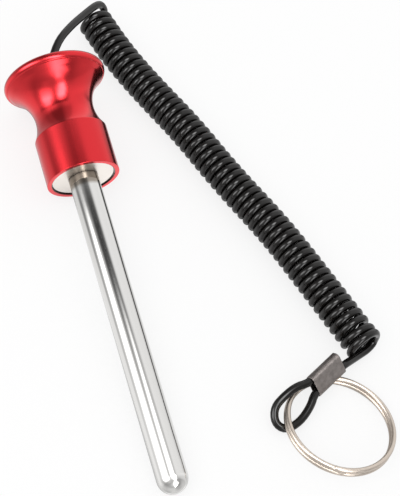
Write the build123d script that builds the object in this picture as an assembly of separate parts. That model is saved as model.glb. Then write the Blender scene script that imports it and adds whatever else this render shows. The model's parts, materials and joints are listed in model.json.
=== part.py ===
from build123d import *
import math
import os

# Weight stack pin with a coiled lanyard. Millimetres, +Z up.
# The pin lies on the floor plane z = 0, on its tip and on the knob's rim, with its tip toward -Y.
# The origin is on the floor, under the middle of the knob and pin together.

# Pin
PIN_DIAMETER = 9.5
PIN_REACH = 103.8          # from the knob's skirt to the round tip
SHANK_DIAMETER = 8.0       # pressed into the knob
SHANK_LENGTH = 26.5        # from its shoulder, which bears on the magnet
SHANK_CHAMFER = 0.6

# Knob, measured along its axis from the skirt's open end
SKIRT_DIAMETER = 23.26
SKIRT_LENGTH = 15.5
SKIRT_EDGE = 0.35
WAIST_DIAMETER = 19.1
WAIST_RUN = 7.4            # from the skirt's shoulder to the waist
FLARE_DIAMETER = 29.6
FLARE_RUN = 10.8           # from the waist to the flare's end
BAND_WIDTH = 1.0
BAND_FLARE = 0.9
RIM_DIAMETER = 33.0
RIM_ROUND = 1.8
RIM_SETBACK = 1.3          # from the band to the rim's widest place
CROWN_RISE = 0.8
CROWN_WALL = 3.3

# Magnet
MAGNET_DIAMETER = 19.7
MAGNET_THICKNESS = 5.0
MAGNET_RECESS = 0.5
MAGNET_GLUE_GAP = 0.25
MAGNET_SHANK_GAP = 0.15
MAGNET_CHAMFER = 0.2

# Cord and the stop that holds its inner end
CORD_DIAMETER = 2.6
CORD_HOLE_CLEARANCE = 0.3
CORD_HOLE_CHAMFER = 0.5
COIL_DIAMETER = 12.0
STOP_WALL = 1.9
STOP_LENGTH = 3.7
STOP_GAP = 0.3

# Crimp sleeve: two lanes side by side, lying across the key ring
SLEEVE_LENGTH = 12.26
SLEEVE_SIDE_WALL = 0.55
SLEEVE_FACE_WALL = 0.4
SLEEVE_LANE_SPACING = 3.8
SLEEVE_ROUND = 1.3
SLEEVE_MOUTH = 0.3
SLEEVE_HEIGHT = 6.75       # of its centre above the floor
SLEEVE_HEADING = -151.6    # degrees, from +X, of its length toward the loop
SLEEVE_DIP = 4.7           # degrees below level, toward the loop
SLEEVE_LEAN = 43.7         # degrees that its broad face leans toward the loop's low side

# Key ring: two turns of round wire, joined by a short step
RING_DIAMETER = 35.4
RING_WIRE = 1.65
RING_TURN_GAP = 0.1
RING_TILT = 10.25          # degrees from level: it leans on the cord's loop
RING_LEAN_HEADING = 62.1   # degrees, from +X, of its lowest point
RING_STEP_START = 85.0     # degrees round the ring, where the upper turn starts down
RING_STEP_ARC = 12.0
RING_END_GAP = 1.0         # degrees between a wire end and the step
RING_FLOOR_GAP = 0.02

# Places of the loose pieces, in plan, from the point where the cord leaves the crown
SLEEVE_PLACE = (57.38, -116.14)
RING_PLACE = (56.6, -132.28)

# The cord's own points, in plan from the same point, and above the floor
LEAD_BEND = 2.9            # from the crown to the lead's first bend, along the knob's axis
LEAD_POINTS = [
    (4.9, 11.95, 17.4),
    (11.6, 18.65, 15.8),
    (18.1, 24.3, 13.4),
    (25.9, 30.5, 11.2),
    (28.2, 30.2, 7.8),
]
COIL_POINTS = [
    (23.7, 28.8),
    (25.1, 23.8),
    (26.8, 16.8),
    (30.2, 6.3),
    (35.6, -6.5),
    (42.4, -21.1),
    (49.7, -41.8),
    (59.5, -63.9),
    (66.7, -86.6),
    (73.5, -108.3),
]
TAIL_POINTS = [(78.7, -106.9, 4.0), (77.5, -108.1, 3.0), (75.3, -109.6, 2.5), (71.8, -111.3, 2.6)]
TAIL_STRAIGHT = 3.2        # before the sleeve
LOOP_STRAIGHT = 0.6        # after the sleeve, on both lanes
LOOP_POINTS = [
    (50.3, -123.75, 4.1),
    (45.6, -127.75, 2.7),
    (40.3, -129.35, 2.15),
    (37.3, -126.75, 2.65),
    (38.0, -122.45, 4.3),
    (41.3, -120.25, 6.2),
    (46.5, -118.05, 7.4),
]
ARC_SHARE = 0.45           # of the shorter run, used by each bend
VOLUME_TOLERANCE = 0.001

# Sizes that follow from those above
PIN_RADIUS = PIN_DIAMETER / 2
SHANK_RADIUS = SHANK_DIAMETER / 2
SHANK_END = MAGNET_RECESS + SHANK_LENGTH
RIM_RADIUS = RIM_DIAMETER / 2
RIM_CORE_RADIUS = RIM_RADIUS - RIM_ROUND
WAIST_PLACE = SKIRT_LENGTH + WAIST_RUN
FLARE_END = WAIST_PLACE + FLARE_RUN
BAND_END = FLARE_END + BAND_WIDTH
RIM_PLACE = BAND_END + RIM_SETBACK
CROWN_EDGE = RIM_PLACE + RIM_ROUND
KNOB_LENGTH = CROWN_EDGE + CROWN_RISE
MAGNET_SEAT = MAGNET_RECESS + MAGNET_THICKNESS
CHAMBER_END = KNOB_LENGTH - CROWN_WALL
CORD_RADIUS = CORD_DIAMETER / 2
STOP_END = CHAMBER_END - STOP_GAP
STOP_START = STOP_END - STOP_LENGTH
TIP_CENTRE = PIN_RADIUS - PIN_REACH

# The knob and pin rest on the floor at the rim and at the tip, which sets their tilt and height.
REST_SPAN = RIM_PLACE - TIP_CENTRE
TILT = math.atan2(RIM_CORE_RADIUS, REST_SPAN)
TILT -= math.asin((PIN_RADIUS - RIM_ROUND) / math.hypot(REST_SPAN, RIM_CORE_RADIUS))
FRONT_REACH = PIN_RADIUS - TIP_CENTRE * math.cos(TILT)
BACK_REACH = RIM_PLACE * math.cos(TILT) + RIM_CORE_RADIUS * math.sin(TILT) + RIM_ROUND
AXIS_DIRECTION = Vector(0, math.cos(TILT), math.sin(TILT))
SKIRT_CENTRE = Vector(0, (FRONT_REACH - BACK_REACH) / 2, PIN_RADIUS - TIP_CENTRE * math.sin(TILT))
KNOB_PLANE = Plane(origin=SKIRT_CENTRE, x_dir=(1, 0, 0), z_dir=AXIS_DIRECTION)
CROWN_POINT = SKIRT_CENTRE + AXIS_DIRECTION * KNOB_LENGTH


def on_knob_axis(distance):
    """Point on the knob's axis, at a distance from the skirt's open end."""
    return SKIRT_CENTRE + AXIS_DIRECTION * distance


def laid_out(x, y, z):
    """Point given in plan from where the cord leaves the crown, and above the floor."""
    return Vector(CROWN_POINT.X + x, CROWN_POINT.Y + y, z)


def turned(*edges):
    """Solid of revolution about local Z, from a closed outline of (radius, 0, height) edges."""
    return revolve(make_face(edges), Axis.Z)


def rod(radius, start, end):
    """Cylinder on local Z, between two heights."""
    return Pos(0, 0, start) * Cylinder(radius, end - start, align=(Align.CENTER, Align.CENTER, Align.MIN))


def crown_height(radius):
    """Height of the knob's shallow domed crown at a radius."""
    dome = (RIM_CORE_RADIUS ** 2 + CROWN_RISE ** 2) / (2 * CROWN_RISE)
    return KNOB_LENGTH - dome + math.sqrt(dome ** 2 - radius ** 2)


def make_knob():
    skirt = SKIRT_DIAMETER / 2
    waist = WAIST_DIAMETER / 2
    flare = FLARE_DIAMETER / 2
    rim_start = RIM_CORE_RADIUS + math.sqrt(RIM_ROUND ** 2 - (RIM_PLACE - BAND_END) ** 2)
    seat = MAGNET_DIAMETER / 2 + MAGNET_GLUE_GAP
    hole = CORD_RADIUS + CORD_HOLE_CLEARANCE
    mouth = hole + CORD_HOLE_CHAMFER
    mid_crown = (RIM_CORE_RADIUS + mouth) / 2
    solid = turned(
        Polyline((seat, 0, 0), (skirt - SKIRT_EDGE, 0, 0), (skirt, 0, SKIRT_EDGE), (skirt, 0, SKIRT_LENGTH)),
        TangentArc((waist, 0, WAIST_PLACE), (skirt, 0, SKIRT_LENGTH), tangent=(0, 0, -1)),
        TangentArc((waist, 0, WAIST_PLACE), (flare, 0, FLARE_END), tangent=(0, 0, 1)),
        Polyline((flare, 0, FLARE_END), (flare + BAND_FLARE, 0, BAND_END), (rim_start, 0, BAND_END)),
        ThreePointArc((rim_start, 0, BAND_END), (RIM_RADIUS, 0, RIM_PLACE), (RIM_CORE_RADIUS, 0, CROWN_EDGE)),
        ThreePointArc(
            (RIM_CORE_RADIUS, 0, CROWN_EDGE),
            (mid_crown, 0, crown_height(mid_crown)),
            (mouth, 0, crown_height(mouth)),
        ),
        Polyline(
            (mouth, 0, crown_height(mouth)),
            (hole, 0, crown_height(mouth) - CORD_HOLE_CHAMFER),
            (hole, 0, CHAMBER_END),
            (SHANK_RADIUS, 0, CHAMBER_END),
            (SHANK_RADIUS, 0, MAGNET_SEAT),
            (seat, 0, MAGNET_SEAT),
            (seat, 0, 0),
        ),
    )
    return KNOB_PLANE.location * solid


def make_pin():
    tip_mid = PIN_RADIUS * math.sqrt(0.5)
    solid = turned(
        Line((0, 0, SHANK_END), (0, 0, -PIN_REACH)),
        ThreePointArc((0, 0, -PIN_REACH), (tip_mid, 0, TIP_CENTRE - tip_mid), (PIN_RADIUS, 0, TIP_CENTRE)),
        Polyline(
            (PIN_RADIUS, 0, TIP_CENTRE),
            (PIN_RADIUS, 0, MAGNET_RECESS),
            (SHANK_RADIUS, 0, MAGNET_RECESS),
            (SHANK_RADIUS, 0, SHANK_END - SHANK_CHAMFER),
            (SHANK_RADIUS - SHANK_CHAMFER, 0, SHANK_END),
            (0, 0, SHANK_END),
        ),
    )
    return KNOB_PLANE.location * solid


def make_magnet():
    ring = rod(MAGNET_DIAMETER / 2, MAGNET_RECESS, MAGNET_SEAT)
    ring -= rod(SHANK_RADIUS + MAGNET_SHANK_GAP, MAGNET_RECESS, MAGNET_SEAT)
    ring = chamfer(ring.edges().group_by(Axis.Z)[0], MAGNET_CHAMFER)
    return KNOB_PLANE.location * ring


def make_cord_stop():
    sleeve = rod(CORD_RADIUS + STOP_WALL, STOP_START, STOP_END) - rod(CORD_RADIUS, STOP_START, STOP_END)
    return KNOB_PLANE.location * sleeve


def sleeve_plane():
    """Frame of the crimp sleeve: Z along it toward the loop, X from the high lane to the low one."""
    heading = math.radians(SLEEVE_HEADING)
    dip = math.radians(SLEEVE_DIP)
    lean = math.radians(SLEEVE_LEAN)
    along = Vector(math.cos(heading) * math.cos(dip), math.sin(heading) * math.cos(dip), -math.sin(dip))
    level = Vector(0, 0, 1).cross(along).normalized()
    upright = along.cross(level)
    across = level * math.cos(lean) - upright * math.sin(lean)
    return Plane(origin=laid_out(*SLEEVE_PLACE, SLEEVE_HEIGHT), x_dir=across, z_dir=along)


def in_lane(side, distance):
    """Point on a lane of the sleeve (side 1 is the low one), along it from the sleeve's middle."""
    return sleeve_plane().from_local_coords((side * SLEEVE_LANE_SPACING / 2, 0, distance))


def make_ferrule():
    width = SLEEVE_LANE_SPACING + CORD_DIAMETER + 2 * SLEEVE_SIDE_WALL
    thickness = CORD_DIAMETER + 2 * SLEEVE_FACE_WALL
    section = RectangleRounded(width, thickness, SLEEVE_ROUND)
    body = extrude(section, SLEEVE_LENGTH / 2, both=True)
    for side in (-1, 1):
        place = Pos(side * SLEEVE_LANE_SPACING / 2, 0, 0)
        body -= place * Cylinder(CORD_RADIUS, SLEEVE_LENGTH)
        for end in (-1, 1):
            flare = Cone(CORD_RADIUS, CORD_RADIUS + SLEEVE_MOUTH, SLEEVE_MOUTH)
            turn = Rot(0, 0 if end > 0 else 180, 0)
            body -= place * Pos(0, 0, end * (SLEEVE_LENGTH - SLEEVE_MOUTH) / 2) * turn * flare
    return sleeve_plane().location * body


def tube(name, points, diameter):
    """Round tube along straight runs joined by tangent arcs, each as large as its runs allow."""
    points = [Vector(point) for point in points]
    runs = [after - before for before, after in zip(points, points[1:])]
    radii = []
    for before, after in zip(runs, runs[1:]):
        half_turn = math.radians(before.get_angle(after)) / 2
        radii.append(ARC_SHARE * min(before.length, after.length) / math.tan(half_turn))
    print(name, "bend radii", [round(radius, 1) for radius in radii])
    path = FilletPolyline(*points, radius=radii)
    solid = sweep(Plane(origin=path @ 0, z_dir=path % 0) * Circle(diameter / 2), path)
    expected = math.pi * diameter ** 2 / 4 * path.length
    print(name, "length", round(path.length, 1))
    print(name, "volume", round(solid.volume, 1), "expected", round(expected, 1))
    if abs(solid.volume - expected) > VOLUME_TOLERANCE * expected:
        raise ValueError(name + " has a volume that doesn't match its length")
    return solid


def make_cord_lead():
    points = [on_knob_axis(STOP_START), on_knob_axis(KNOB_LENGTH + LEAD_BEND)]
    points += [laid_out(*point) for point in LEAD_POINTS]
    return tube("cord_lead", points, CORD_DIAMETER)


def make_cord_coil():
    points = [laid_out(x, y, COIL_DIAMETER / 2) for x, y in COIL_POINTS]
    return tube("cord_coil", points, COIL_DIAMETER)


def make_cord_tail():
    end = SLEEVE_LENGTH / 2
    points = [laid_out(*point) for point in TAIL_POINTS]
    points += [in_lane(1, -end - TAIL_STRAIGHT), in_lane(1, end + LOOP_STRAIGHT)]
    points += [laid_out(*point) for point in LOOP_POINTS]
    points += [in_lane(-1, end + LOOP_STRAIGHT), in_lane(-1, -end)]
    return tube("cord_tail", points, CORD_DIAMETER)


def make_key_ring():
    radius = (RING_DIAMETER - RING_WIRE) / 2
    level = (RING_WIRE + RING_TURN_GAP) / 2
    tilt = math.radians(RING_TILT)
    heading = math.radians(RING_LEAN_HEADING)
    normal = Vector(math.sin(tilt) * math.cos(heading), math.sin(tilt) * math.sin(heading), math.cos(tilt))
    height = radius * math.sin(tilt) + level * math.cos(tilt) + RING_WIRE / 2 + RING_FLOOR_GAP
    level_line = Vector(0, 0, 1).cross(normal)
    ring_plane = Plane(origin=laid_out(*RING_PLACE, height), x_dir=level_line, z_dir=normal)
    turn_arc = 360 - RING_STEP_ARC - 2 * RING_END_GAP
    upper = Pos(0, 0, level) * CenterArc((0, 0), radius, RING_STEP_START - turn_arc, turn_arc)
    lower = Pos(0, 0, -level) * CenterArc((0, 0), radius, RING_STEP_START + RING_STEP_ARC, turn_arc)
    step_points = []
    for part in (0, 0.25, 0.5, 0.75, 1):
        angle = math.radians(RING_STEP_START + RING_STEP_ARC * part)
        drop = level * math.cos(math.pi * part)
        step_points.append((radius * math.cos(angle), radius * math.sin(angle), drop))
    step = Spline(*step_points, tangents=(upper % 1, lower % 0))
    path = Wire([upper, step, lower])
    wire = sweep(Plane(origin=path @ 0, z_dir=path % 0) * Circle(RING_WIRE / 2), path)
    expected = math.pi * RING_WIRE ** 2 / 4 * path.length
    print("key_ring volume", round(wire.volume, 1), "expected", round(expected, 1))
    return ring_plane.location * wire


PIECES = {
    "knob": make_knob,
    "pin": make_pin,
    "magnet": make_magnet,
    "cord_stop": make_cord_stop,
    "cord_lead": make_cord_lead,
    "cord_coil": make_cord_coil,
    "cord_tail": make_cord_tail,
    "ferrule": make_ferrule,
    "key_ring": make_key_ring,
}

os.makedirs("parts", exist_ok=True)
for node, make in PIECES.items():
    export_step(make(), os.path.join("parts", node + ".step"))
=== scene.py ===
import json
import math

import bmesh
import bpy
from bpy.props import FloatProperty, FloatVectorProperty, IntProperty, PointerProperty
from mathutils import Matrix, Vector


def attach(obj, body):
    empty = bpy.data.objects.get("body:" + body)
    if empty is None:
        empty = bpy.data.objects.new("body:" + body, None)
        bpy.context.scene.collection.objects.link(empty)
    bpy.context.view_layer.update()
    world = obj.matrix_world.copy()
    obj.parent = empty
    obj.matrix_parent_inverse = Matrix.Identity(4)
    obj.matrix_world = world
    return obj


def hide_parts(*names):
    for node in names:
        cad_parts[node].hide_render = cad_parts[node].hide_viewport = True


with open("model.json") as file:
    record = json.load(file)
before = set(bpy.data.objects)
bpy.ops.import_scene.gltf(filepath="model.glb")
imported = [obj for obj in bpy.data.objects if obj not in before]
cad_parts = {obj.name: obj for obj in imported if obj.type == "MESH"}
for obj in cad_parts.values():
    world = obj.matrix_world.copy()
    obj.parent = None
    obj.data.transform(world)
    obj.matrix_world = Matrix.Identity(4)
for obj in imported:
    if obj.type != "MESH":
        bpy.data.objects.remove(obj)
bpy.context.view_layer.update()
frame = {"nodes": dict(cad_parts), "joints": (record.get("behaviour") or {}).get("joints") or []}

bl_info = {
    "name": "Weight stack pin",
    "version": (1, 0, 0),
    "blender": (4, 5, 0),
    "location": "3D View > Sidebar > Stack pin",
    "description": "A pin with a red flared knob, a ring magnet and a coiled lanyard on a split ring",
    "category": "Object",
}

MM = 0.001
TURN = 2 * math.pi
MERGE_DISTANCE = 1e-7

# How finely round shapes are drawn: steps round the knob, the pin and magnet, and one turn of the split
# ring, steps along the ring's jog, sides of its wire, and steps of the sleeve's rounded edges
KNOB_STEPS = 144
PIN_STEPS = 96
RING_STEPS = 108
JOG_STEPS = 16
WIRE_SIDES = 20
SLEEVE_ROUND_STEPS = 8

# The knob's axis and the split ring's plane come from the frame's two joints.
JOINTS = {joint["name"]: joint for joint in frame["joints"]}
SKIRT_CENTRE = Vector(JOINTS["knob_swivel"]["pos_m"])
KNOB_AXIS = Vector(JOINTS["knob_swivel"]["axis"]).normalized()
RING_CENTRE = Vector(JOINTS["ring_turn"]["pos_m"])
RING_NORMAL = Vector(JOINTS["ring_turn"]["axis"]).normalized()


def place_of(origin, up, side):
    """Matrix of a local frame with Z along up and X along side."""
    depth = up.cross(side)
    turn = Matrix((side, depth, up)).transposed().to_4x4()
    return Matrix.Translation(origin) @ turn


KNOB_PLACE = place_of(SKIRT_CENTRE, KNOB_AXIS, Vector((1, 0, 0)))
RING_PLACE = place_of(RING_CENTRE, RING_NORMAL, Vector((0, 0, 1)).cross(RING_NORMAL).normalized())


def length(name, description, millimetres):
    """A length that the user can change, with its default in millimetres."""
    return FloatProperty(
        name=name, description=description, default=millimetres * MM, min=0.0, unit="LENGTH", precision=5
    )


def angle(name, description, degrees):
    """An angle that the user can change, with its default in degrees."""
    return FloatProperty(name=name, description=description, default=math.radians(degrees), unit="ROTATION")


def linear(hex_code):
    """Linear RGB of an sRGB hex colour."""
    parts = [int(hex_code[i:i + 2], 16) / 255 for i in (1, 3, 5)]
    return [part / 12.92 if part <= 0.04045 else ((part + 0.055) / 1.055) ** 2.4 for part in parts]


def colour(name, description, hex_code):
    """A colour that the user can change, with its default as an sRGB hex code."""
    return FloatVectorProperty(
        name=name,
        description=description,
        default=linear(hex_code),
        subtype="COLOR",
        size=3,
        min=0.0,
        max=1.0,
    )


class KnobSizes(bpy.types.PropertyGroup):
    skirt_diameter: length("Skirt diameter", "Outside of the straight skirt", 23.26)
    skirt_length: length("Skirt length", "From the open end to the shoulder", 15.5)
    waist_diameter: length("Waist diameter", "Narrowest part of the neck", 19.1)
    waist_run: length("Waist run", "From the shoulder to the waist", 7.4)
    flare_diameter: length("Flare diameter", "Where the neck meets the band", 29.6)
    flare_run: length("Flare run", "From the waist to the band", 10.8)
    band_width: length("Band width", "Of the narrow band under the rim", 1.0)
    band_flare: length("Band flare", "How much wider the band ends than it starts", 0.9)
    rim_diameter: length("Rim diameter", "Widest part of the knob", 33.0)
    rim_round: length("Rim rounding", "Radius of the rim's round edge", 1.8)
    rim_setback: length("Rim setback", "From the band to the rim's widest place", 1.3)
    crown_rise: length("Crown rise", "Height of the domed end over the rim", 0.8)
    crown_wall: length("Crown wall", "From the crown to the hollow that holds the cord's stop", 3.3)
    edge_break: length("Edge break", "Width of the polished edges", 0.22)
    cord_hole_diameter: length("Cord hole", "Hole for the cord through the crown", 3.2)
    cord_hole_chamfer: length("Cord hole chamfer", "Width of the hole's chamfer", 0.5)


class PinSizes(bpy.types.PropertyGroup):
    diameter: length("Pin diameter", "Of the part that goes into the stack", 9.5)
    reach: length("Pin reach", "From the knob's skirt to the round tip", 103.8)
    shank_diameter: length("Shank diameter", "Of the part held in the knob", 8.0)
    shank_length: length("Shank length", "From the shoulder into the knob", 26.5)
    magnet_diameter: length("Magnet diameter", "Outside of the ring magnet", 19.7)
    magnet_thickness: length("Magnet thickness", "Along the pin", 5.0)
    magnet_recess: length("Magnet recess", "From the skirt's end to the magnet's face", 0.5)
    magnet_glue_gap: length("Magnet glue gap", "Round the magnet, inside the skirt", 0.25)
    magnet_shank_gap: length("Magnet shank gap", "Between the magnet and the pin's shank", 0.15)
    magnet_chamfer: length("Magnet chamfer", "Width of its broken edges", 0.2)
    edge_break: length("Edge break", "Width of the pin's broken edges", 0.15)


class CordSizes(bpy.types.PropertyGroup):
    diameter: length("Cord diameter", "Outside of the round cord", 2.6)
    coil_diameter: length("Coil diameter", "Outside of the coil at the knob", 11.75)
    coil_growth: length("Coil growth", "How much wider the coil is at the sleeve", 0.75)
    pitch: length("Coil pitch", "Between one turn and the next", 2.74)
    first_gap: length("First turn's gap", "How far the first turn stands off the rest", 1.0)
    first_bulge: length("First turn's bulge", "How far the first turn stands out", 0.3)
    last_bulge: length("Last turn's bulge", "How far the last turn stands out", 0.3)
    first_lean: length("Lean at the knob", "How far the left of each turn lies ahead of its middle", 0.25)
    last_lean: length("Lean at the sleeve", "The same, at the coil's other end", 0.5)
    top_lean: length("Lean of the tops", "How far each turn's top lies toward the knob from its sides", 0.42)
    turns: IntProperty(name="Turns", description="Close turns in the coil", default=53, min=1)
    points_per_turn: IntProperty(
        name="Points per turn", description="Control points of one turn", default=16, min=12
    )


class SleeveSizes(bpy.types.PropertyGroup):
    length: length("Sleeve length", "Along the cord", 12.26)
    lane_spacing: length("Lane spacing", "Between the two strands of cord", 3.8)
    side_wall: length("Side wall", "Metal beside the strands", 0.55)
    face_wall: length("Face wall", "Metal over the strands", 0.4)
    round: length("Sleeve rounding", "Radius of its long edges", 1.3)
    height: length("Sleeve height", "Of its middle above the floor", 6.75)
    heading: angle("Sleeve heading", "Of its length, toward the loop, from +X", -151.6)
    dip: angle("Sleeve dip", "Below level, toward the loop", 4.7)
    lean: angle("Sleeve lean", "Of its broad face, toward the loop's low side", 43.7)
    edge_break: length("Edge break", "Width of the edges round its mouths", 0.12)


class RingSizes(bpy.types.PropertyGroup):
    diameter: length("Ring diameter", "Outside of the split ring", 35.4)
    wire: length("Wire diameter", "Of the ring's round wire", 1.65)
    turn_gap: length("Turn gap", "Between its two turns", 0.1)
    step_start: angle("Step start", "Where the upper turn starts down", 84.5)
    step_arc: angle("Step arc", "Over which it steps down", 16.0)
    end_gap: angle("End gap", "From a wire end to the step; under zero it is pressed into the step", -7.0)
    edge_break: length("Edge break", "Width of the edges of the wire's ends", 0.15)


class FinishColours(bpy.types.PropertyGroup):
    anodised_red: colour("Anodised red", "Dye of the knob's oxide layer", "#e43138")
    steel: colour("Steel", "Of the ground and polished pin", "#e6e5e3")
    nickel: colour("Nickel", "Plating of the magnet", "#f6efe8")
    ring_nickel: colour("Ring nickel", "Plating of the split ring", "#d8ccc0")
    sleeve_metal: colour("Sleeve metal", "Of the crimped sleeve", "#968f8c")
    cord_vinyl: colour("Cord vinyl", "Of the cord's jacket", "#12100f")
    stop_aluminium: colour("Stop aluminium", "Of the stop inside the knob", "#c8c6c2")
    # Painted shade in the recess round the magnet
    glue: colour("Glue", "Of the dark line round the magnet", "#2a1210")
    # Painted reflection of the magnet on the pin's foot; a darker share of it is painted shade at the gap
    foot_reflection: colour("Film", "Of glue and dirt on the pin's foot", "#a0978d")
    floor: colour("Floor", "Of the pale floor", "#f7f7f7")


GROUPS = {
    "stack_pin_knob": KnobSizes,
    "stack_pin_pin": PinSizes,
    "stack_pin_cord": CordSizes,
    "stack_pin_sleeve": SleeveSizes,
    "stack_pin_ring": RingSizes,
    "stack_pin_finish": FinishColours,
}


# The cord's route, in metres: in plan from where the cord leaves the crown, and above the floor

LEAD_ROUTE = (
    (0.0049, 0.01195, 0.0174),
    (0.0116, 0.01865, 0.0158),
    (0.0181, 0.0243, 0.0134),
    (0.0259, 0.0305, 0.0112),
    (0.0282, 0.0302, 0.0078),
)
COIL_ROUTE = (
    (0.0237, 0.0288),
    (0.0251, 0.0238),
    (0.0268, 0.0168),
    (0.0302, 0.0063),
    (0.0356, -0.0065),
    (0.0424, -0.0211),
    (0.0497, -0.0418),
    (0.0595, -0.0639),
    (0.0667, -0.0866),
    (0.0735, -0.1083),
)
TAIL_ROUTE = (
    (0.0787, -0.1069, 0.0040),
    (0.0780, -0.1078, 0.0033),
    (0.0757, -0.1092, 0.0028),
    (0.0720, -0.1106, 0.0032),
    (0.0679, -0.1124, 0.0045),
)
LOOP_ROUTE = (
    (0.0503, -0.12375, 0.0041),
    (0.0456, -0.12775, 0.0027),
    (0.0403, -0.12935, 0.00215),
    (0.0373, -0.12675, 0.00265),
    (0.0380, -0.12245, 0.0043),
    (0.0413, -0.12025, 0.0062),
    (0.0465, -0.11805, 0.0074),
)
SLEEVE_PLACE = (0.05738, -0.11614)
# The turns crowd and spread a little: by turn, how far it lies toward the sleeve from an even pitch.
UNEVEN_TURNS = (
    (0, 0.0), (9, 0.0008), (19, 0.0), (27, 0.0002), (39, -0.0006), (48, -0.0006),
    (51.4, -0.0001), (52.2, 0.0010), (52.6, 0.0002), (53, 0.0001),
)
# Where the cord starts along the knob's axis, and how far it stays straight out of the crown, on the
# coil's side of the sleeve and on the loop's side.
STOP_START = 0.0313
LEAD_BEND = 0.0029
TAIL_STRAIGHT = 0.0008
LOOP_STRAIGHT = 0.0006


def knob_length(sizes):
    """From the skirt's open end to the top of the crown."""
    run = sizes.skirt_length + sizes.waist_run + sizes.flare_run + sizes.band_width
    return run + sizes.rim_setback + sizes.rim_round + sizes.crown_rise


def on_knob_axis(distance):
    """Point on the knob's axis, at a distance from the skirt's open end."""
    return SKIRT_CENTRE + KNOB_AXIS * distance


def laid_out(scene, x, y, z):
    """Point given in plan from where the cord leaves the crown, and above the floor."""
    crown = on_knob_axis(knob_length(scene.stack_pin_knob))
    return Vector((crown.x + x, crown.y + y, z))


# Outlines and bmesh helpers


def start_outline(mesh, x, z):
    """First point of an outline in the local XZ plane."""
    return bmesh.ops.create_vert(mesh, co=(x, 0, z))["vert"][0]


def line_to(mesh, last, x, z):
    """Straight edge of an outline, from its last point."""
    made = bmesh.ops.extrude_vert_indiv(mesh, verts=[last])["verts"][0]
    made.co = (x, 0, z)
    return made


def arc_to(mesh, last, centre_x, centre_z, degrees, steps):
    """Round part of an outline: its last point is spun about a centre in the local XZ plane."""
    made = bmesh.ops.spin(
        mesh,
        geom=[last],
        cent=(centre_x, 0, centre_z),
        axis=(0, 1, 0),
        angle=math.radians(degrees),
        steps=steps,
    )
    return [item for item in made["geom_last"] if isinstance(item, bmesh.types.BMVert)][0]


def turned_solid(mesh, steps):
    """The whole outline is spun once round local Z, as on a lathe."""
    bmesh.ops.spin(
        mesh,
        geom=mesh.verts[:] + mesh.edges[:],
        cent=(0, 0, 0),
        axis=(0, 0, 1),
        angle=TURN,
        steps=steps,
        use_merge=True,
    )
    close_seams(mesh)


def close_seams(mesh):
    """Merges doubled points, then turns every face outward."""
    bmesh.ops.remove_doubles(mesh, verts=mesh.verts, dist=MERGE_DISTANCE)
    bmesh.ops.dissolve_degenerate(mesh, edges=mesh.edges, dist=MERGE_DISTANCE)
    bmesh.ops.recalc_face_normals(mesh, faces=mesh.faces)


def break_edges(mesh, width, least_degrees, segments=2):
    """Bevels every edge that is sharper than an angle."""
    sharp = [edge for edge in mesh.edges if edge.calc_face_angle(0.0) > math.radians(least_degrees)]
    bmesh.ops.bevel(
        mesh,
        geom=sharp,
        offset=width,
        offset_type="OFFSET",
        affect="EDGES",
        segments=segments,
        profile=0.5,
        material=-1,
        clamp_overlap=True,
    )


def finish_piece(name, mesh, place, body, material, replaced):
    """Moves the shape into the shared frame, and makes it a smooth-shaded piece on its body."""
    bmesh.ops.transform(mesh, matrix=place, verts=mesh.verts)
    data = bpy.data.meshes.new(name)
    mesh.to_mesh(data)
    mesh.free()
    data.polygons.foreach_set("use_smooth", [True] * len(data.polygons))
    piece = bpy.data.objects.new(name, data)
    bpy.context.scene.collection.objects.link(piece)
    weighted = piece.modifiers.new("Flat faces lead", "WEIGHTED_NORMAL")
    weighted.keep_sharp = True
    dress(piece, body, material, replaced)
    return piece


def dress(piece, body, material, replaced):
    """Gives a piece its finish, its body and the CAD nodes that it stands for."""
    piece.data.materials.append(material)
    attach(piece, body)
    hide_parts(*replaced)


# Materials

# Reach of the painted recess shade past the lip's inner edge; length and fade of the painted
# reflection on the pin's foot, and start and end of its painted shade line, from the skirt's open end
LIP_SHADE_REACH = 0.15 * MM
REFLECTION_LENGTH = 3.0 * MM
REFLECTION_FADE = 1.0 * MM
SHADE_LINE_START = -0.2 * MM
SHADE_LINE_END = 0.3 * MM


def add_node(tree, kind, links=None, inputs=None, stops=(), **settings):
    """A node with its settings, the values on its own sockets, the links into it, and a ramp's stops."""
    node = tree.nodes.new(kind)
    for key, value in settings.items():
        setattr(node, key, value)
    for socket, value in (inputs or {}).items():
        node.inputs[socket].default_value = value
    for socket, source in (links or {}).items():
        tree.links.new(source, node.inputs[socket])
    for index, (position, rgb) in enumerate(stops):
        elements = node.color_ramp.elements
        if index == 0:
            elements.remove(elements[-1])
        stop = elements.new(position) if index else elements[0]
        stop.position = position
        stop.color = (*rgb, 1)
    return node


def new_finish(name, rgb, **sockets):
    """A material with one Principled shader, whose even values stand on its own sockets."""
    material = bpy.data.materials.new(name)
    material.use_nodes = True
    tree = material.node_tree
    shader = tree.nodes["Principled BSDF"]
    shader.inputs["Base Color"].default_value = (*rgb, 1)
    for socket, value in sockets.items():
        shader.inputs[socket.replace("_", " ")].default_value = value
    return material, tree, shader


def local_position(tree, place):
    """Object coordinates, turned into a piece's own frame with Z along its axis."""
    inverse = place.inverted()
    where = add_node(tree, "ShaderNodeTexCoord")
    return add_node(
        tree,
        "ShaderNodeMapping",
        links={"Vector": where.outputs["Object"]},
        inputs={"Location": inverse.to_translation(), "Rotation": inverse.to_euler()},
    ).outputs["Vector"]


def distance_along(tree, place):
    """How far along a piece's own axis a point lies."""
    return add_node(tree, "ShaderNodeSeparateXYZ", links={"Vector": local_position(tree, place)}).outputs["Z"]


def turning_marks(tree, place, spacing):
    """Rings round the axis, as the lathe leaves them, a spacing apart."""
    return add_node(
        tree,
        "ShaderNodeTexNoise",
        links={"W": distance_along(tree, place)},
        inputs={"Scale": 1 / spacing, "Detail": 2.0},
        noise_dimensions="1D",
    ).outputs["Fac"]


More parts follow.
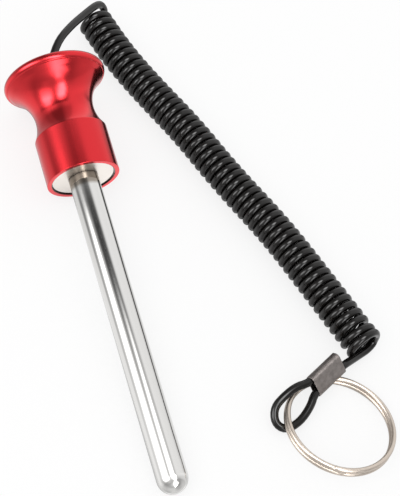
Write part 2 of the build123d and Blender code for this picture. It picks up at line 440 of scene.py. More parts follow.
def cloudy(tree, place, size):
    """Soft uneven patches of about a size."""
    return add_node(
        tree,
        "ShaderNodeTexNoise",
        links={"Vector": local_position(tree, place)},
        inputs={"Scale": 1 / size, "Detail": 3.0},
    ).outputs["Fac"]


def uneven_skin(tree, shader, roughness, patches, relief=None, strength=0.0, depth=0.0):
    """Roughness that follows a pattern from its first value to its second, and relief of a small depth."""
    low, high = roughness
    spread = add_node(
        tree, "ShaderNodeMapRange", links={"Value": patches}, inputs={"To Min": low, "To Max": high}
    )
    tree.links.new(spread.outputs["Result"], shader.inputs["Roughness"])
    if relief is not None:
        bump = add_node(
            tree, "ShaderNodeBump", links={"Height": relief}, inputs={"Strength": strength, "Distance": depth}
        )
        tree.links.new(bump.outputs["Normal"], shader.inputs["Normal"])


def bands_along(tree, place, bands):
    """Colour along a piece's own axis: each band is a distance and the colour there, and they blend."""
    low = bands[0][0]
    high = bands[-1][0]
    share = add_node(
        tree,
        "ShaderNodeMapRange",
        links={"Value": distance_along(tree, place)},
        inputs={"From Min": low, "From Max": high},
    )
    stops = [((distance - low) / (high - low), rgb) for distance, rgb in bands]
    return add_node(
        tree, "ShaderNodeValToRGB", links={"Fac": share.outputs["Result"]}, stops=stops
    ).outputs["Color"]


def recess_shade_mask(tree, sizes):
    """One on the knob's metal round the magnet, to just past the lip's inner edge, and zero elsewhere."""
    lip = sizes.magnet_diameter / 2 + sizes.magnet_glue_gap + LIP_SHADE_REACH
    flat = add_node(
        tree,
        "ShaderNodeVectorMath",
        links={0: local_position(tree, KNOB_PLACE)},
        inputs={1: (1, 1, 0)},
        operation="MULTIPLY",
    )
    radius = add_node(tree, "ShaderNodeVectorMath", links={0: flat.outputs["Vector"]}, operation="LENGTH")
    within = add_node(
        tree, "ShaderNodeMath", links={0: radius.outputs["Value"]}, inputs={1: lip}, operation="LESS_THAN"
    )
    beside = add_node(
        tree,
        "ShaderNodeMath",
        links={0: distance_along(tree, KNOB_PLACE)},
        inputs={1: sizes.magnet_recess + sizes.magnet_thickness},
        operation="LESS_THAN",
    )
    return add_node(
        tree,
        "ShaderNodeMath",
        links={0: within.outputs["Value"], 1: beside.outputs["Value"]},
        operation="MULTIPLY",
    ).outputs["Value"]


def shaded(rgb, share):
    """A colour, darker or lighter by a share."""
    return [part * share for part in rgb]


def red_anodised_aluminium(scene):
    # Turned, then dyed: a bright metal under a thin clear red layer, with soft broad highlights and faint
    # turning marks.
    dye = scene.stack_pin_finish.anodised_red
    material, tree, shader = new_finish(
        "red anodised aluminium", dye, Metallic=1.0, Coat_Weight=0.22, Coat_Roughness=0.12, Coat_IOR=1.6
    )
    # The lathe's feed is about 0.1 mm; the marks are drawn at 0.3 mm, so that they show.
    marks = turning_marks(tree, KNOB_PLACE, 0.3 * MM)
    patches = cloudy(tree, KNOB_PLACE, 6 * MM)
    uneven_skin(tree, shader, (0.15, 0.19), patches, marks, strength=0.12, depth=0.01 * MM)
    # Painted shade: the knob's metal in the recess round the magnet is painted as a thin dark line.
    tone = add_node(
        tree,
        "ShaderNodeMix",
        links={"Factor": recess_shade_mask(tree, scene.stack_pin_pin)},
        inputs={"A": (*dye, 1), "B": (*scene.stack_pin_finish.glue, 1)},
        data_type="RGBA",
    )
    tree.links.new(tone.outputs["Result"], shader.inputs["Base Color"])
    return material


def polished_steel(scene):
    # Ground and polished bar: near mirror, with crisp long streaks and very faint grinding rings.
    sizes = scene.stack_pin_pin
    steel = scene.stack_pin_finish.steel
    foot_reflection = scene.stack_pin_finish.foot_reflection
    material, tree, shader = new_finish("polished steel", steel, Metallic=1.0)
    # Grinding rings are a few hundredths wide; they are drawn at 0.2 mm, so that they show.
    rings = turning_marks(tree, KNOB_PLACE, 0.2 * MM)
    patches = cloudy(tree, KNOB_PLACE, 5 * MM)
    uneven_skin(tree, shader, (0.05, 0.10), patches, rings, strength=0.05, depth=0.005 * MM)
    # The pin's foot has a painted brown reflection of the magnet and a painted shade line against it.
    bands = (
        (-sizes.reach, steel),
        (-REFLECTION_LENGTH - REFLECTION_FADE, steel),
        (-REFLECTION_LENGTH, foot_reflection),
        (SHADE_LINE_START, foot_reflection),
        (SHADE_LINE_END, shaded(foot_reflection, 0.3)),
        (sizes.magnet_recess + sizes.shank_length, steel),
    )
    tree.links.new(bands_along(tree, KNOB_PLACE, bands), shader.inputs["Base Color"])
    return material


def nickel_plate(scene):
    # Bright nickel over a pressed magnet: a pale warm mirror, a little cloudy.
    material, tree, shader = new_finish("nickel plated magnet", scene.stack_pin_finish.nickel, Metallic=1.0)
    pores = cloudy(tree, KNOB_PLACE, 0.5 * MM)
    patches = cloudy(tree, KNOB_PLACE, 3 * MM)
    uneven_skin(tree, shader, (0.28, 0.36), patches, pores, strength=0.08, depth=0.01 * MM)
    return material


def nickel_wire(scene):
    # Nickel plated spring wire: warm and shiny, with a long soft glint along each turn.
    nickel = scene.stack_pin_finish.ring_nickel
    material, tree, shader = new_finish("nickel plated wire", nickel, Metallic=1.0)
    uneven_skin(tree, shader, (0.30, 0.36), cloudy(tree, RING_PLACE, 8 * MM))
    return material


def tumbled_sleeve_metal(scene):
    # Tumbled soft metal, crimped: a satin grey with fine lines along its length and small handling marks.
    place = sleeve_place(scene)
    metal = scene.stack_pin_finish.sleeve_metal
    material, tree, shader = new_finish("tumbled sleeve metal", metal, Metallic=1.0)
    stretched = add_node(
        tree,
        "ShaderNodeMapping",
        links={"Vector": local_position(tree, place)},
        inputs={"Scale": (1.0, 1.0, 0.12)},
    )
    grain = add_node(
        tree,
        "ShaderNodeTexNoise",
        links={"Vector": stretched.outputs["Vector"]},
        inputs={"Scale": 1 / (0.25 * MM), "Detail": 4.0},
    ).outputs["Fac"]
    uneven_skin(tree, shader, (0.30, 0.48), grain, grain, strength=0.5, depth=0.03 * MM)
    # Rubbing against the machine leaves smudges of oxide: paler and darker patches a millimetre or two wide.
    smudge = add_node(
        tree,
        "ShaderNodeMapRange",
        links={"Value": cloudy(tree, place, 1.6 * MM)},
        inputs={"From Min": 0.35, "From Max": 0.65},
    )
    tone = add_node(
        tree,
        "ShaderNodeMix",
        links={"Factor": smudge.outputs["Result"]},
        inputs={"A": (*shaded(metal, 0.85), 1), "B": (*shaded(metal, 1.15), 1)},
        data_type="RGBA",
    )
    tree.links.new(tone.outputs["Result"], shader.inputs["Base Color"])
    return material


def plain_aluminium(scene):
    # Cut from bar and left as it is: dull grey, out of sight inside the knob.
    material, tree, shader = new_finish(
        "plain aluminium", scene.stack_pin_finish.stop_aluminium, Metallic=1.0
    )
    uneven_skin(tree, shader, (0.3, 0.45), turning_marks(tree, KNOB_PLACE, 0.3 * MM))
    return material


def black_vinyl(scene):
    # Extruded soft vinyl: near black and slightly brown, with a wet-looking gloss and a faint uneven skin.
    material, tree, shader = new_finish("black vinyl jacket", scene.stack_pin_finish.cord_vinyl, IOR=1.47)
    shared_frame = Matrix.Identity(4)
    ripple = cloudy(tree, shared_frame, 2 * MM)
    patches = cloudy(tree, shared_frame, 5 * MM)
    uneven_skin(tree, shader, (0.03, 0.06), patches, ripple, strength=0.02, depth=0.02 * MM)
    return material


# Camera, studio and floor


class STACKPIN_OT_stage(bpy.types.Operator):
    """Sets up the camera, the pale floor and the soft studio light"""

    bl_idname = "stack_pin.stage"
    bl_label = "Stage"

    def execute(self, context):
        aim_camera(context.scene)
        light_studio(context.scene)
        lay_floor(context.scene)
        return {"FINISHED"}


# The photograph's viewing angle, for a 400 by 496 image: the camera's place in metres, and its lens in mm
CAMERA_PLACE = (-0.141157, -0.204195, 0.413929)
CAMERA_LOOK = (0.353826, 0.427415, -0.831939)
CAMERA_RIGHT = (0.922335, -0.307100, 0.234497)
CAMERA_LENS = 112.5
CAMERA_SENSOR = 36.0


def aim_camera(scene):
    """Camera where the photograph was taken from."""
    data = bpy.data.cameras.new("camera")
    data.lens = CAMERA_LENS
    data.sensor_width = CAMERA_SENSOR
    data.clip_start = 0.01
    data.clip_end = 20.0
    camera = bpy.data.objects.new("camera", data)
    look = Vector(CAMERA_LOOK).normalized()
    right = Vector(CAMERA_RIGHT).normalized()
    camera.matrix_world = place_of(Vector(CAMERA_PLACE), -look, right)
    scene.collection.objects.link(camera)
    scene.camera = camera


# Brightness of the studio as a metal shows it, by the direction round the pin in degrees: 0 is straight up
# and 90 is +X. The walls follow one another toward +Y, each with its place there, and blend between their
# places. An upward direction counts a little farther toward +Y.
STUDIO_PEAK = 8.0
STUDIO_LEAN = 0.084
END_WALL = (
    (-180, 0.80), (-150, 0.75), (-128, 0.78), (-100, 0.58), (-82, 0.55), (-58, 0.70), (-40, 0.90),
    (-30, 1.20), (-18, 3.00), (0, 4.80), (24, 4.80), (38, 2.60), (44, 1.00), (50, 0.40), (58, 0.26),
    (70, 0.35), (80, 0.45), (95, 0.55), (120, 0.50), (180, 0.80),
)
BACK_WALL = (
    (-180, 0.90), (-165, 0.60), (-140, 0.65), (-112, 0.60), (-90, 0.40), (-60, 0.45), (-47, 0.50),
    (-36, 0.60), (-26, 0.60), (-16, 0.90), (-8, 4.20), (3, 4.40), (11, 2.60), (18, 1.30), (26, 0.60),
    (42, 0.30), (60, 0.50), (78, 0.62), (95, 0.70), (180, 0.90),
)
NOTCH_WALL = (
    (-180, 0.90), (-165, 0.70), (-148, 0.70), (-130, 0.72), (-112, 0.62), (-92, 0.38), (-70, 0.48),
    (-55, 0.70), (-40, 0.66), (-28, 0.60), (-14, 0.75), (-6, 1.30), (6, 1.60), (12, 1.10), (18, 0.50),
    (28, 0.42), (44, 0.42), (60, 0.52), (75, 0.60), (95, 0.66), (180, 0.90),
)
LOW_WALL = (
    (-180, 1.60), (-165, 1.00), (-150, 0.80), (-135, 0.80), (-112, 0.80), (-100, 0.62), (-92, 0.46),
    (-80, 0.70), (-68, 1.10), (-58, 1.10), (-45, 0.90), (-38, 0.75), (-24, 0.75), (-15, 1.00), (-9, 4.50),
    (-2, 6.80), (6, 6.80), (12, 2.60), (16, 0.90), (24, 0.56), (40, 0.60), (56, 0.72), (80, 0.76),
    (100, 0.80), (125, 0.80), (145, 1.50), (180, 1.70),
)
NEAR_WALL = (
    (-180, 0.97), (-120, 1.00), (-112, 0.95), (-104, 0.75), (-96, 0.60), (-87, 0.80), (-82, 1.10),
    (-75, 2.80), (-60, 3.40), (-48, 3.20), (-40, 2.20), (-34, 1.00), (-29, 0.80), (-25, 1.10), (-20, 2.60),
    (-12, 6.50), (4, 7.50), (10, 5.00), (15, 1.10), (20, 0.70), (28, 0.85), (72, 0.86), (90, 0.82),
    (110, 0.66), (180, 0.97),
)
LEVEL_WALL = (
    (-180, 0.97), (-120, 1.02), (-112, 1.00), (-104, 0.80), (-96, 0.70), (-90, 0.95), (-85, 1.30),
    (-79, 4.50), (-72, 6.50), (-54, 6.50), (-46, 5.00), (-41, 2.60), (-36, 1.10), (-32, 0.75), (-28, 1.00),
    (-25, 1.80), (-21, 5.00), (-14, 7.50), (0, 7.50), (5, 3.60), (9, 1.00), (14, 0.70), (20, 0.85),
    (28, 0.97), (72, 1.05), (86, 1.00), (100, 0.85), (118, 0.88), (180, 0.97),
)
TIP_WALL = (
    (-180, 0.97), (-120, 1.02), (-112, 1.01), (-104, 0.83), (-96, 0.78), (-91, 1.00), (-88, 1.16),
    (-82, 1.30), (-76, 3.40), (-66, 4.80), (-56, 4.80), (-50, 2.60), (-46, 1.28), (-41, 1.10), (-36, 0.75),
    (-33, 0.50), (-29, 0.90), (-25, 1.15), (-21, 1.60), (-16, 3.20), (-7, 3.20), (-3, 1.30), (1, 1.00),
    (5, 0.62), (13, 0.60), (17, 0.85), (22, 0.97), (72, 0.90), (84, 0.70), (100, 0.74), (118, 0.90),
    (180, 0.97),
)
MIDDLE_WALL = (
    (-180, 0.97), (-124, 0.93), (-112, 0.92), (-107, 0.75), (-103, 0.55), (-96, 0.40), (-90, 0.60),
    (-85, 0.95), (-80, 1.30), (-74, 3.20), (-66, 4.20), (-56, 3.80), (-51, 1.20), (-46, 0.86), (-40, 0.56),
    (-35, 0.20), (-27, 0.06), (-20, 0.06), (-8, 0.07), (-1, 0.13), (6, 0.27), (10, 0.60), (14, 0.86),
    (24, 0.95), (50, 0.93), (74, 0.94), (80, 0.85), (86, 0.66), (97, 0.36), (109, 0.46), (120, 0.80),
    (180, 0.97),
)
FAR_WALL = (
    (-180, 0.85), (-129, 0.78), (-112, 0.82), (-107, 0.60), (-103, 0.42), (-96, 0.21), (-90, 0.16),
    (-84, 0.25), (-79, 0.36), (-70, 0.44), (-60, 0.44), (-52, 0.32), (-47, 0.20), (-40, 0.11), (-28, 0.05),
    (-8, 0.05), (-1, 0.09), (5, 0.33), (10, 0.60), (14, 0.82), (24, 0.96), (60, 0.92), (76, 0.97),
    (85, 1.00), (92, 0.65), (100, 0.38), (107, 0.26), (112, 0.26), (118, 0.36), (125, 0.60), (133, 0.80),
    (180, 0.85),
)
SKIRT_WALL = (
    (-180, 0.74), (-141, 0.76), (-120, 0.76), (-108, 0.62), (-100, 0.56), (-92, 0.62), (-80, 0.82),
    (-70, 0.98), (-58, 1.00), (-48, 1.00), (-40, 0.93), (-33, 0.78), (-25, 0.58), (-17, 0.56), (-8, 0.76),
    (0, 0.86), (20, 0.92), (45, 0.95), (70, 0.92), (85, 0.90), (97, 0.78), (108, 0.58), (118, 0.48),
    (145, 0.50), (180, 0.74),
)
DEEP_WALL = (
    (-180, 0.63), (-141, 0.70), (-120, 0.73), (-108, 0.66), (-100, 0.62), (-92, 0.66), (-80, 0.88),
    (-70, 1.20), (-55, 1.20), (-42, 1.00), (-33, 0.70), (-25, 0.50), (-17, 0.50), (-8, 0.75), (2, 0.85),
    (20, 0.90), (45, 0.95), (77, 0.95), (92, 0.90), (104, 0.76), (112, 0.52), (125, 0.42), (140, 0.26),
    (155, 0.35), (180, 0.63),
)
HIGH_WALL = (
    (-180, 0.60), (-110, 0.45), (-90, 0.30), (-76, 0.35), (-60, 0.20), (-24, 0.20), (-10, 0.40), (4, 0.54),
    (15, 0.60), (24, 0.90), (50, 1.05), (90, 1.10), (112, 0.50), (140, 0.40), (180, 0.60),
)
STUDIO_WALLS = (
    (-0.90, END_WALL), (-0.67, BACK_WALL), (-0.58, NOTCH_WALL), (-0.45, NOTCH_WALL), (-0.36, LOW_WALL),
    (-0.12, NEAR_WALL), (0.08, LEVEL_WALL), (0.25, TIP_WALL), (0.35, MIDDLE_WALL), (0.402, FAR_WALL),
    (0.45, SKIRT_WALL), (0.50, DEEP_WALL), (0.68, HIGH_WALL),
)
# The white room's light on dull surfaces, and the soft box: its place and aim, its width in metres and its
# power in watts
ROOM_STRENGTH = 0.85
LAMP_PLACE = (-0.7, -0.25, 1.1)
LAMP_AIM = (0.03, 0, 0)
LAMP_SIZE = 0.9
LAMP_POWER = 5.0


def light_studio(scene):
    """A white room with soft boxes and the dark gaps between them, and one soft lamp."""
    scene.view_settings.view_transform = "Standard"
    world = bpy.data.worlds.new("studio")
    scene.world = world
    world.use_nodes = True
    tree = world.node_tree
    tree.nodes.clear()
    direction = add_node(tree, "ShaderNodeTexCoord").outputs["Generated"]
    split = add_node(tree, "ShaderNodeSeparateXYZ", links={"Vector": direction})
    round_pin = add_node(
        tree, "ShaderNodeMath", links={0: split.outputs["X"], 1: split.outputs["Z"]}, operation="ARCTAN2"
    )
    share = add_node(
        tree,
        "ShaderNodeMapRange",
        links={"Value": round_pin.outputs["Value"]},
        inputs={"From Min": -math.pi, "From Max": math.pi},
    ).outputs["Result"]
    depth = add_node(
        tree,
        "ShaderNodeMath",
        links={0: split.outputs["Z"], 2: split.outputs["Y"]},
        inputs={1: STUDIO_LEAN},
        operation="MULTIPLY_ADD",
    )
    walls = studio_wall(tree, share, STUDIO_WALLS[0][1])
    for (before, _), (after, stops) in zip(STUDIO_WALLS, STUDIO_WALLS[1:]):
        passed = add_node(
            tree,
            "ShaderNodeMapRange",
            links={"Value": depth.outputs["Value"]},
            inputs={"From Min": before, "From Max": after},
        )
        walls = add_node(
            tree,
            "ShaderNodeMix",
            links={"Factor": passed.outputs["Result"], "A": walls, "B": studio_wall(tree, share, stops)},
            data_type="RGBA",
        ).outputs["Result"]
    seen = add_node(tree, "ShaderNodeLightPath")
    plain = add_node(
        tree, "ShaderNodeBackground", inputs={"Color": (1, 1, 1, 1), "Strength": ROOM_STRENGTH}
    )
    reflected = add_node(
        tree, "ShaderNodeBackground", links={"Color": walls}, inputs={"Strength": STUDIO_PEAK}
    )
    white = add_node(tree, "ShaderNodeBackground", inputs={"Color": (1, 1, 1, 1), "Strength": 1.0})
    glossy = add_node(
        tree,
        "ShaderNodeMixShader",
        links={0: seen.outputs["Is Glossy Ray"], 1: plain.outputs[0], 2: reflected.outputs[0]},
    )
    through = add_node(
        tree,
        "ShaderNodeMath",
        links={0: seen.outputs["Is Camera Ray"], 1: seen.outputs["Is Transmission Ray"]},
        operation="MAXIMUM",
    )
    shown = add_node(
        tree, "ShaderNodeMixShader", links={0: through.outputs[0], 1: glossy.outputs[0], 2: white.outputs[0]}
    )
    add_node(tree, "ShaderNodeOutputWorld", links={"Surface": shown.outputs[0]})
    hang_lamp(scene)


def studio_wall(tree, share, stops):
    """Grey ramp of the studio's brightness round the pin."""
    greys = [((degrees + 180) / 360, [brightness / STUDIO_PEAK] * 3) for degrees, brightness in stops]
    return add_node(tree, "ShaderNodeValToRGB", links={"Fac": share}, stops=greys).outputs["Color"]


def hang_lamp(scene):
    """Square soft box that shines at the object and isn't seen in reflections."""
    data = bpy.data.lights.new("key lamp", "AREA")
    data.size = LAMP_SIZE
    data.energy = LAMP_POWER
    lamp = bpy.data.objects.new("key lamp", data)
    lamp.location = LAMP_PLACE
    lamp.rotation_euler = (Vector(LAMP_AIM) - Vector(LAMP_PLACE)).to_track_quat("-Z", "Y").to_euler()
    lamp.visible_glossy = False
    scene.collection.objects.link(lamp)


# The floor's size and how far it lies under the object, how much of its white is its own, and how near the
# object metals stop showing the studio through it
FLOOR_RADIUS = 0.3
FLOOR_DROP = 0.02 * MM
FLOOR_GLOW = 0.8
CONTACT_SHADE = 8 * MM


def lay_floor(scene):
    """Round pale floor under the object."""
    mesh = bmesh.new()
    bmesh.ops.create_circle(mesh, cap_ends=True, segments=96, radius=FLOOR_RADIUS)
    bmesh.ops.translate(mesh, verts=mesh.verts, vec=(0, 0, -FLOOR_DROP))
    data = bpy.data.meshes.new("floor")
    mesh.to_mesh(data)
    mesh.free()
    floor = bpy.data.objects.new("floor", data)
    scene.collection.objects.link(floor)
    material = bpy.data.materials.new("pale floor")
    material.use_nodes = True
    tree = material.node_tree
    tree.nodes.clear()
    lit = add_node(tree, "ShaderNodeBsdfDiffuse", inputs={"Color": (*scene.stack_pin_finish.floor, 1)})
    white = add_node(tree, "ShaderNodeEmission", inputs={"Color": (1, 1, 1, 1), "Strength": 1.0})
    nearby = add_node(tree, "ShaderNodeAmbientOcclusion", inputs={"Distance": CONTACT_SHADE}, samples=6)
    clear = add_node(tree, "ShaderNodeBsdfTransparent", links={"Color": nearby.outputs["Color"]})
    seen = add_node(tree, "ShaderNodeLightPath")
    # Most of the floor's white is its own; the rest keeps the object's shadow. Metals show the studio's wall
    # through it, and less of it close to the object.
    share = add_node(
        tree,
        "ShaderNodeMath",
        links={0: seen.outputs["Is Camera Ray"]},
        inputs={1: FLOOR_GLOW},
        operation="MULTIPLY",
    )
    shown = add_node(
        tree, "ShaderNodeMixShader", links={0: share.outputs[0], 1: lit.outputs[0], 2: white.outputs[0]}
    )
    floor_or_wall = add_node(
        tree,
        "ShaderNodeMixShader",
        links={0: seen.outputs["Is Glossy Ray"], 1: shown.outputs[0], 2: clear.outputs[0]},
    )
    add_node(tree, "ShaderNodeOutputMaterial", links={"Surface": floor_or_wall.outputs[0]})
    data.materials.append(material)


# Pieces


class STACKPIN_OT_cord_stop(bpy.types.Operator):
    """Gives the stop on the cord's inner end its finish"""

    bl_idname = "stack_pin.cord_stop"
    bl_label = "Cord stop"

    def execute(self, context):
        stop = frame["nodes"]["cord_stop"]
        stop.data.materials.clear()
        stop.data.materials.append(plain_aluminium(context.scene))
        return {"FINISHED"}


def sleeve_place(scene):
    """Frame of the crimped sleeve: Z along it toward the loop, X from the high strand to the low one."""
    sizes = scene.stack_pin_sleeve
    along = Vector(
        (
            math.cos(sizes.heading) * math.cos(sizes.dip),
            math.sin(sizes.heading) * math.cos(sizes.dip),
            -math.sin(sizes.dip),
        )
    )
    level = Vector((0, 0, 1)).cross(along).normalized()
    upright = along.cross(level)
    across = level * math.cos(sizes.lean) - upright * math.sin(sizes.lean)
    return place_of(laid_out(scene, *SLEEVE_PLACE, sizes.height), along, across)


class STACKPIN_OT_crimp_sleeve(bpy.types.Operator):
    """Presses the flat sleeve that holds the cord's loop"""

    bl_idname = "stack_pin.crimp_sleeve"
    bl_label = "Crimp sleeve"

    def execute(self, context):
        scene = context.scene
        sizes = scene.stack_pin_sleeve
        cord = scene.stack_pin_cord.diameter
        width = sizes.lane_spacing + cord + 2 * sizes.side_wall
        thickness = cord + 2 * sizes.face_wall
        mesh = bmesh.new()
        bmesh.ops.create_grid(mesh, x_segments=1, y_segments=1, size=0.5)
        bmesh.ops.scale(mesh, vec=(width, thickness, 1), verts=mesh.verts)
        bmesh.ops.bevel(
            mesh,
            geom=mesh.verts[:],
            offset=sizes.round,
            offset_type="OFFSET",
            affect="VERTICES",
            segments=SLEEVE_ROUND_STEPS,
            profile=0.5,
            material=-1,
        )
        bmesh.ops.translate(mesh, verts=mesh.verts, vec=(0, 0, -sizes.length / 2))
        made = bmesh.ops.extrude_face_region(mesh, geom=mesh.faces[:])
        top = [item for item in made["geom"] if isinstance(item, bmesh.types.BMVert)]
        bmesh.ops.translate(mesh, verts=top, vec=(0, 0, sizes.length))
        close_seams(mesh)
        # The two flat ends face along local Z.
        ends = [face for face in mesh.faces if abs(face.normal.z) > 0.9]
        bmesh.ops.inset_region(mesh, faces=ends, thickness=sizes.face_wall, use_even_offset=True)
        bmesh.ops.delete(mesh, geom=ends, context="FACES_ONLY")
        mouths = [edge for edge in mesh.edges if edge.is_boundary]
        bmesh.ops.bridge_loops(mesh, edges=mouths)
        close_seams(mesh)
        break_edges(mesh, sizes.edge_break, least_degrees=50)
        finish_piece(
            "crimp_sleeve",
            mesh,
            sleeve_place(scene),
            "lanyard",
            tumbled_sleeve_metal(scene),
            ["ferrule"],
        )
        return {"FINISHED"}


class STACKPIN_OT_split_ring(bpy.types.Operator):
    """Winds the split ring: two turns of round wire, joined by a short step"""

    bl_idname = "stack_pin.split_ring"
    bl_label = "Split ring"

    def execute(self, context):
        scene = context.scene
        sizes = scene.stack_pin_ring
        radius = (sizes.diameter - sizes.wire) / 2
        level = (sizes.wire + sizes.turn_gap) / 2
        turn_arc = TURN - sizes.step_arc - 2 * sizes.end_gap
        mesh = bmesh.new()
        section = bmesh.ops.create_circle(
            mesh, cap_ends=True, segments=WIRE_SIDES, radius=sizes.wire / 2
        )["verts"]
        upright = Matrix.Rotation(math.pi / 2, 4, "X")
        start = Matrix.Rotation(sizes.step_start - turn_arc, 4, "Z")
        start = start @ Matrix.Translation((radius, 0, level)) @ upright
        bmesh.ops.transform(mesh, matrix=start, verts=section)
        end = wind_wire(mesh, mesh.faces[:], turn_arc, RING_STEPS, rise=0)
        end = wind_wire(mesh, end, sizes.step_arc, JOG_STEPS, rise=-2 * level)
        wind_wire(mesh, end, turn_arc, RING_STEPS, rise=0)
        close_seams(mesh)
        break_edges(mesh, sizes.edge_break, least_degrees=60)
        finish_piece("split_ring", mesh, RING_PLACE, "ring", nickel_wire(scene), ["key_ring"])
        return {"FINISHED"}


def wind_wire(mesh, face, arc, steps, rise):
    """Spins the wire's end face round the ring, and lifts it smoothly by a rise on the way."""
    for step in range(steps):
        before = (1 - math.cos(math.pi * step / steps)) / 2
        after = (1 - math.cos(math.pi * (step + 1) / steps)) / 2
        made = bmesh.ops.spin(
            mesh,
            geom=face,
            cent=(0, 0, 0),
            axis=(0, 0, 1),
            dvec=(0, 0, rise * (after - before)),
            angle=arc / steps,
            steps=1,
            use_merge=False,
        )
        face = [item for item in made["geom_last"] if isinstance(item, bmesh.types.BMFace)]
    return face


def axis_walk(points):
    """The coil's line, as a NURBS spline draws it: a function from length to place and direction."""
    curve = nurbs_line("coil axis", points)
    line = bpy.data.objects.new("coil axis", curve)
    bpy.context.scene.collection.objects.link(line)
    bpy.context.view_layer.update()
    made = bpy.data.meshes.new_from_object(line)
    places = [vertex.co.copy() for vertex in made.vertices]
    bpy.data.meshes.remove(made)
    bpy.data.objects.remove(line)
    bpy.data.curves.remove(curve)
    reach = [0.0]
    for before, after in zip(places, places[1:]):
        reach.append(reach[-1] + (after - before).length)

    def walk(distance):
        """Place and direction at a distance along the line."""
        inside = min(max(distance, 0.0), reach[-1])
        index = max(i for i in range(len(places) - 1) if reach[i] <= inside or i == 0)
        ahead = (places[index + 1] - places[index]).normalized()
        return places[index] + ahead * (distance - reach[index]), ahead

    return walk


def nurbs_line(name, points, resolution=64):
    """Smooth NURBS curve with the given control points."""
    curve = bpy.data.curves.new(name, "CURVE")
    curve.dimensions = "3D"
    curve.resolution_u = resolution
    spline = curve.splines.new("NURBS")
    spline.points.add(len(points) - 1)
    for point, place in zip(spline.points, points):
        point.co = (*place, 1.0)
    spline.order_u = 3
    spline.use_endpoint_u = True
    return curve


def uneven_shift(turn):
    """How far a turn lies toward the sleeve from an even pitch."""
    for (before, low), (after, high) in zip(UNEVEN_TURNS, UNEVEN_TURNS[1:]):
        if turn <= after:
            return low + (high - low) * (turn - before) / (after - before)
    return UNEVEN_TURNS[-1][1]


def coil_points(scene):
    """Control points of the coil's turns, round the route's own line, from the first turn's right side."""
    sizes = scene.stack_pin_cord
    walk = axis_walk([laid_out(scene, x, y, 0) for x, y in COIL_ROUTE])
    # The spline runs inside its control points by this share, so that they stand out by its inverse.
    inside = math.cos(math.pi / sizes.points_per_turn)
    points = []
    for step in range(sizes.turns * sizes.points_per_turn + 1):
        turn = step / sizes.points_per_turn
        spin = math.pi + TURN * turn
        grown = (turn / sizes.turns) ** 2
        loose = max(0.0, 1 - turn) ** 2
        opened = max(0.0, 1 - 2 * (sizes.turns - turn)) ** 2
        radius = (sizes.coil_diameter + sizes.coil_growth * grown - sizes.diameter) / 2
        radius += sizes.first_bulge * loose
        lean = sizes.first_lean + (sizes.last_lean - sizes.first_lean) * grown
        along = sizes.diameter / 2 + sizes.pitch * turn + uneven_shift(turn)
        along += lean * math.cos(spin) - sizes.top_lean * math.sin(spin) - sizes.first_gap * loose
        centre, ahead = walk(along)
        side = Vector((-ahead.y, ahead.x, 0)).normalized()
        reach = (radius + sizes.last_bulge * opened) / inside * math.cos(spin)
        height = sizes.diameter / 2 + radius + radius / inside * math.sin(spin)
        points.append(centre - side * reach + Vector((0, 0, height)))
    return points


class STACKPIN_OT_lanyard(bpy.types.Operator):
    """Coils the cord from the knob to its loop on the split ring"""

    bl_idname = "stack_pin.lanyard"
    bl_label = "Lanyard"

    def execute(self, context):
        scene = context.scene
        sizes = scene.stack_pin_cord
        sleeve = scene.stack_pin_sleeve
        crown = knob_length(scene.stack_pin_knob)
        place = sleeve_place(scene)
        end = sleeve.length / 2

        def in_lane(side, distance):
            """Point in the middle of one of the sleeve's lanes, at a distance from the sleeve's middle."""
            return place @ Vector((side * sleeve.lane_spacing / 2, 0, distance))

        points = [on_knob_axis(STOP_START), on_knob_axis(crown + LEAD_BEND)]
        points += [laid_out(scene, *point) for point in LEAD_ROUTE]
        points += coil_points(scene)
        points += [laid_out(scene, *point) for point in TAIL_ROUTE]
        points += [in_lane(1, -end - TAIL_STRAIGHT), in_lane(1, end + LOOP_STRAIGHT)]
        points += [laid_out(scene, *point) for point in LOOP_ROUTE]
        points += [in_lane(-1, end + LOOP_STRAIGHT), in_lane(-1, -end)]
        curve = nurbs_line("lanyard_cord", points, resolution=4)
        curve.bevel_depth = sizes.diameter / 2
        curve.bevel_resolution = 5
        curve.use_fill_caps = True
        cord = bpy.data.objects.new("lanyard_cord", curve)
        scene.collection.objects.link(cord)
        dress(cord, "lanyard", black_vinyl(scene), ["cord_lead", "cord_coil", "cord_tail"])
        return {"FINISHED"}


